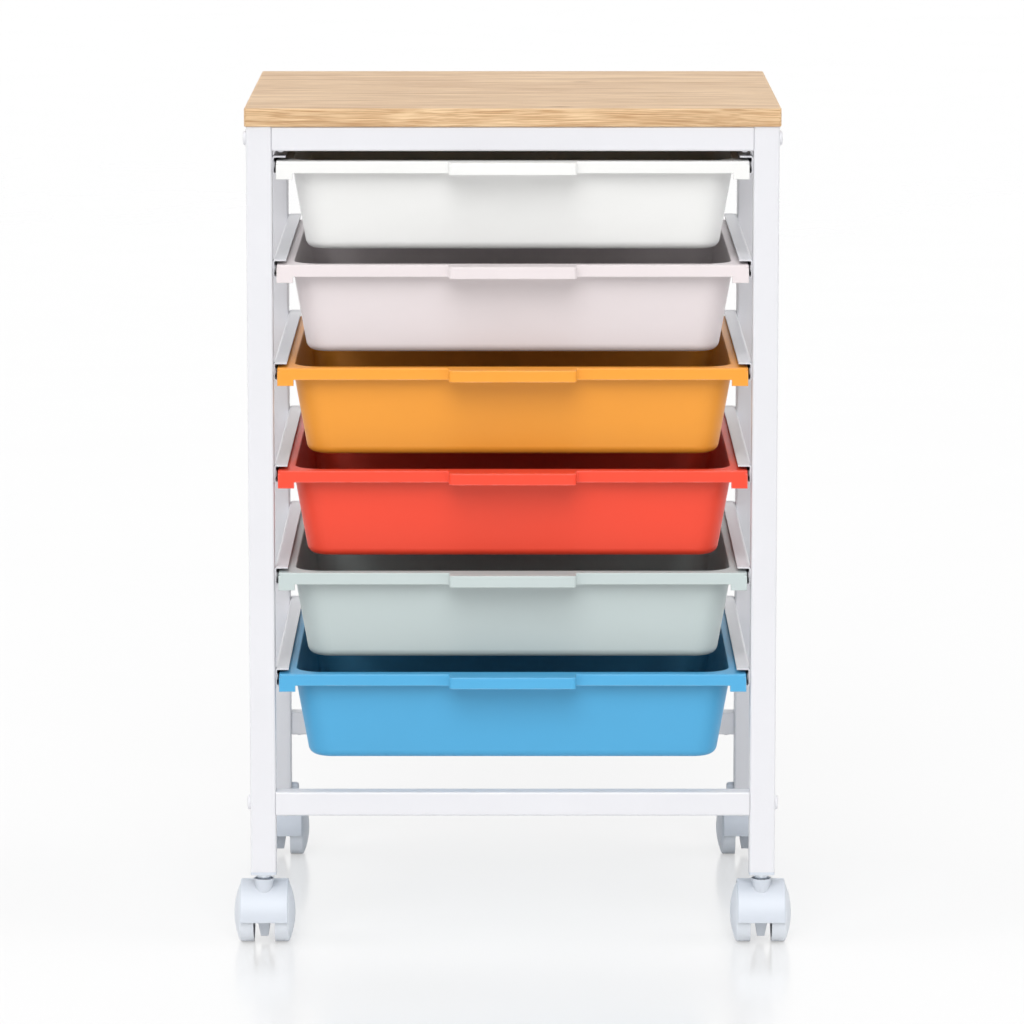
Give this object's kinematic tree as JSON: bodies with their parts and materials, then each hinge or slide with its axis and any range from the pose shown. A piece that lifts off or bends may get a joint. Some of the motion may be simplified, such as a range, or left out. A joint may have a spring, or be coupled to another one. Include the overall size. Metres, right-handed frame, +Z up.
{
  "type": "rolling drawer cart",
  "caption": "Rolling cart with a wooden top, white square tube frame, coloured moulded pull-out drawers on sheet runners and hooded twin-wheel swivel casters.",
  "frame": {"origin": "on the floor under the middle of the cart's outline", "axes": "+X to the right seen from the front, +Y to the back, +Z up; drawers pull out along -Y"},
  "size_m": [0.4188, 0.3692, 0.63],
  "materials": {
    "board": "clear satin oak grain",
    "board_edge": "satin oak edge band",
    "white_metal": "white powder coat",
    "drawer_1": "satin white moulding",
    "drawer_2": "satin pale pink moulding",
    "drawer_3": "satin orange moulding",
    "drawer_4": "satin red moulding",
    "drawer_5": "satin pale grey-green moulding",
    "drawer_6": "satin blue moulding",
    "caster_plastic": "satin pale blue-grey moulding",
    "wheel_plastic": "satin pale blue-grey moulding",
    "socket_plastic": "satin pale blue-grey moulding",
    "steel": "zinc plated"
  },
  "bodies": {
    "frame": {"top_board": "board", "edge_band": "board_edge", "board_screws": "steel", "crossbar_inserts": "steel", "insert_screws": "white_metal", "crossbar_bolts": "white_metal", "runner_rivets": "white_metal", "crossbar_front_bottom": "white_metal", "crossbar_front_top": "white_metal", "crossbar_rear_bottom": "white_metal", "crossbar_rear_top": "white_metal", "side_rail_left": "white_metal", "leg_front_left": "white_metal", "leg_rear_left": "white_metal", "runner_left_1": "white_metal", "runner_left_2": "white_metal", "runner_left_3": "white_metal", "runner_left_4": "white_metal", "runner_left_5": "white_metal", "runner_left_6": "white_metal", "side_rail_right": "white_metal", "leg_front_right": "white_metal", "leg_rear_right": "white_metal", "runner_right_1": "white_metal", "runner_right_2": "white_metal", "runner_right_3": "white_metal", "runner_right_4": "white_metal", "runner_right_5": "white_metal", "runner_right_6": "white_metal", "caster_socket_front_left": "socket_plastic", "caster_socket_front_right": "socket_plastic", "caster_socket_rear_left": "socket_plastic", "caster_socket_rear_right": "socket_plastic"},
    "drawer_1": {"drawer_1": "drawer_1"},
    "drawer_2": {"drawer_2": "drawer_2"},
    "drawer_3": {"drawer_3": "drawer_3"},
    "drawer_4": {"drawer_4": "drawer_4"},
    "drawer_5": {"drawer_5": "drawer_5"},
    "drawer_6": {"drawer_6": "drawer_6"},
    "caster_front_left": {"caster_hood_front_left": "caster_plastic", "caster_stem_front_left": "steel", "caster_axle_front_left": "steel"},
    "wheel_front_left_left": {"wheel_front_left_left": "wheel_plastic"},
    "wheel_front_left_right": {"wheel_front_left_right": "wheel_plastic"},
    "caster_front_right": {"caster_hood_front_right": "caster_plastic", "caster_stem_front_right": "steel", "caster_axle_front_right": "steel"},
    "wheel_front_right_left": {"wheel_front_right_left": "wheel_plastic"},
    "wheel_front_right_right": {"wheel_front_right_right": "wheel_plastic"},
    "caster_rear_left": {"caster_hood_rear_left": "caster_plastic", "caster_stem_rear_left": "steel", "caster_axle_rear_left": "steel"},
    "wheel_rear_left_left": {"wheel_rear_left_left": "wheel_plastic"},
    "wheel_rear_left_right": {"wheel_rear_left_right": "wheel_plastic"},
    "caster_rear_right": {"caster_hood_rear_right": "caster_plastic", "caster_stem_rear_right": "steel", "caster_axle_rear_right": "steel"},
    "wheel_rear_right_left": {"wheel_rear_right_left": "wheel_plastic"},
    "wheel_rear_right_right": {"wheel_rear_right_right": "wheel_plastic"}
  },
  "joints": [
    {"name": "drawer_1_slide", "type": "slide", "parent": "frame", "child": "drawer_1", "axis": [0, -1, 0], "range_m": [0, 0.23]},
    {"name": "drawer_2_slide", "type": "slide", "parent": "frame", "child": "drawer_2", "axis": [0, -1, 0], "range_m": [0, 0.23]},
    {"name": "drawer_3_slide", "type": "slide", "parent": "frame", "child": "drawer_3", "axis": [0, -1, 0], "range_m": [0, 0.23]},
    {"name": "drawer_4_slide", "type": "slide", "parent": "frame", "child": "drawer_4", "axis": [0, -1, 0], "range_m": [0, 0.23]},
    {"name": "drawer_5_slide", "type": "slide", "parent": "frame", "child": "drawer_5", "axis": [0, -1, 0], "range_m": [0, 0.23]},
    {"name": "drawer_6_slide", "type": "slide", "parent": "frame", "child": "drawer_6", "axis": [0, -1, 0], "range_m": [0, 0.23]},
    {"name": "caster_front_left_swivel", "type": "hinge", "parent": "frame", "child": "caster_front_left", "pos_m": [-0.1865, -0.1611, 0], "axis": [0, 0, 1], "continuous": true},
    {"name": "wheel_front_left_left_spin", "type": "hinge", "parent": "caster_front_left", "child": "wheel_front_left_left", "pos_m": [-0.1865, -0.1491, 0.0222], "axis": [1, 0, 0], "continuous": true},
    {"name": "wheel_front_left_right_spin", "type": "hinge", "parent": "caster_front_left", "child": "wheel_front_left_right", "pos_m": [-0.1865, -0.1491, 0.0222], "axis": [1, 0, 0], "continuous": true},
    {"name": "caster_front_right_swivel", "type": "hinge", "parent": "frame", "child": "caster_front_right", "pos_m": [0.1865, -0.1611, 0], "axis": [0, 0, 1], "continuous": true},
    {"name": "wheel_front_right_left_spin", "type": "hinge", "parent": "caster_front_right", "child": "wheel_front_right_left", "pos_m": [0.1865, -0.1491, 0.0222], "axis": [1, 0, 0], "continuous": true},
    {"name": "wheel_front_right_right_spin", "type": "hinge", "parent": "caster_front_right", "child": "wheel_front_right_right", "pos_m": [0.1865, -0.1491, 0.0222], "axis": [1, 0, 0], "continuous": true},
    {"name": "caster_rear_left_swivel", "type": "hinge", "parent": "frame", "child": "caster_rear_left", "pos_m": [-0.1865, 0.1474, 0], "axis": [0, 0, 1], "continuous": true},
    {"name": "wheel_rear_left_left_spin", "type": "hinge", "parent": "caster_rear_left", "child": "wheel_rear_left_left", "pos_m": [-0.1865, 0.1594, 0.0222], "axis": [1, 0, 0], "continuous": true},
    {"name": "wheel_rear_left_right_spin", "type": "hinge", "parent": "caster_rear_left", "child": "wheel_rear_left_right", "pos_m": [-0.1865, 0.1594, 0.0222], "axis": [1, 0, 0], "continuous": true},
    {"name": "caster_rear_right_swivel", "type": "hinge", "parent": "frame", "child": "caster_rear_right", "pos_m": [0.1865, 0.1474, 0], "axis": [0, 0, 1], "continuous": true},
    {"name": "wheel_rear_right_left_spin", "type": "hinge", "parent": "caster_rear_right", "child": "wheel_rear_right_left", "pos_m": [0.1865, 0.1594, 0.0222], "axis": [1, 0, 0], "continuous": true},
    {"name": "wheel_rear_right_right_spin", "type": "hinge", "parent": "caster_rear_right", "child": "wheel_rear_right_right", "pos_m": [0.1865, 0.1594, 0.0222], "axis": [1, 0, 0], "continuous": true}
  ]
}
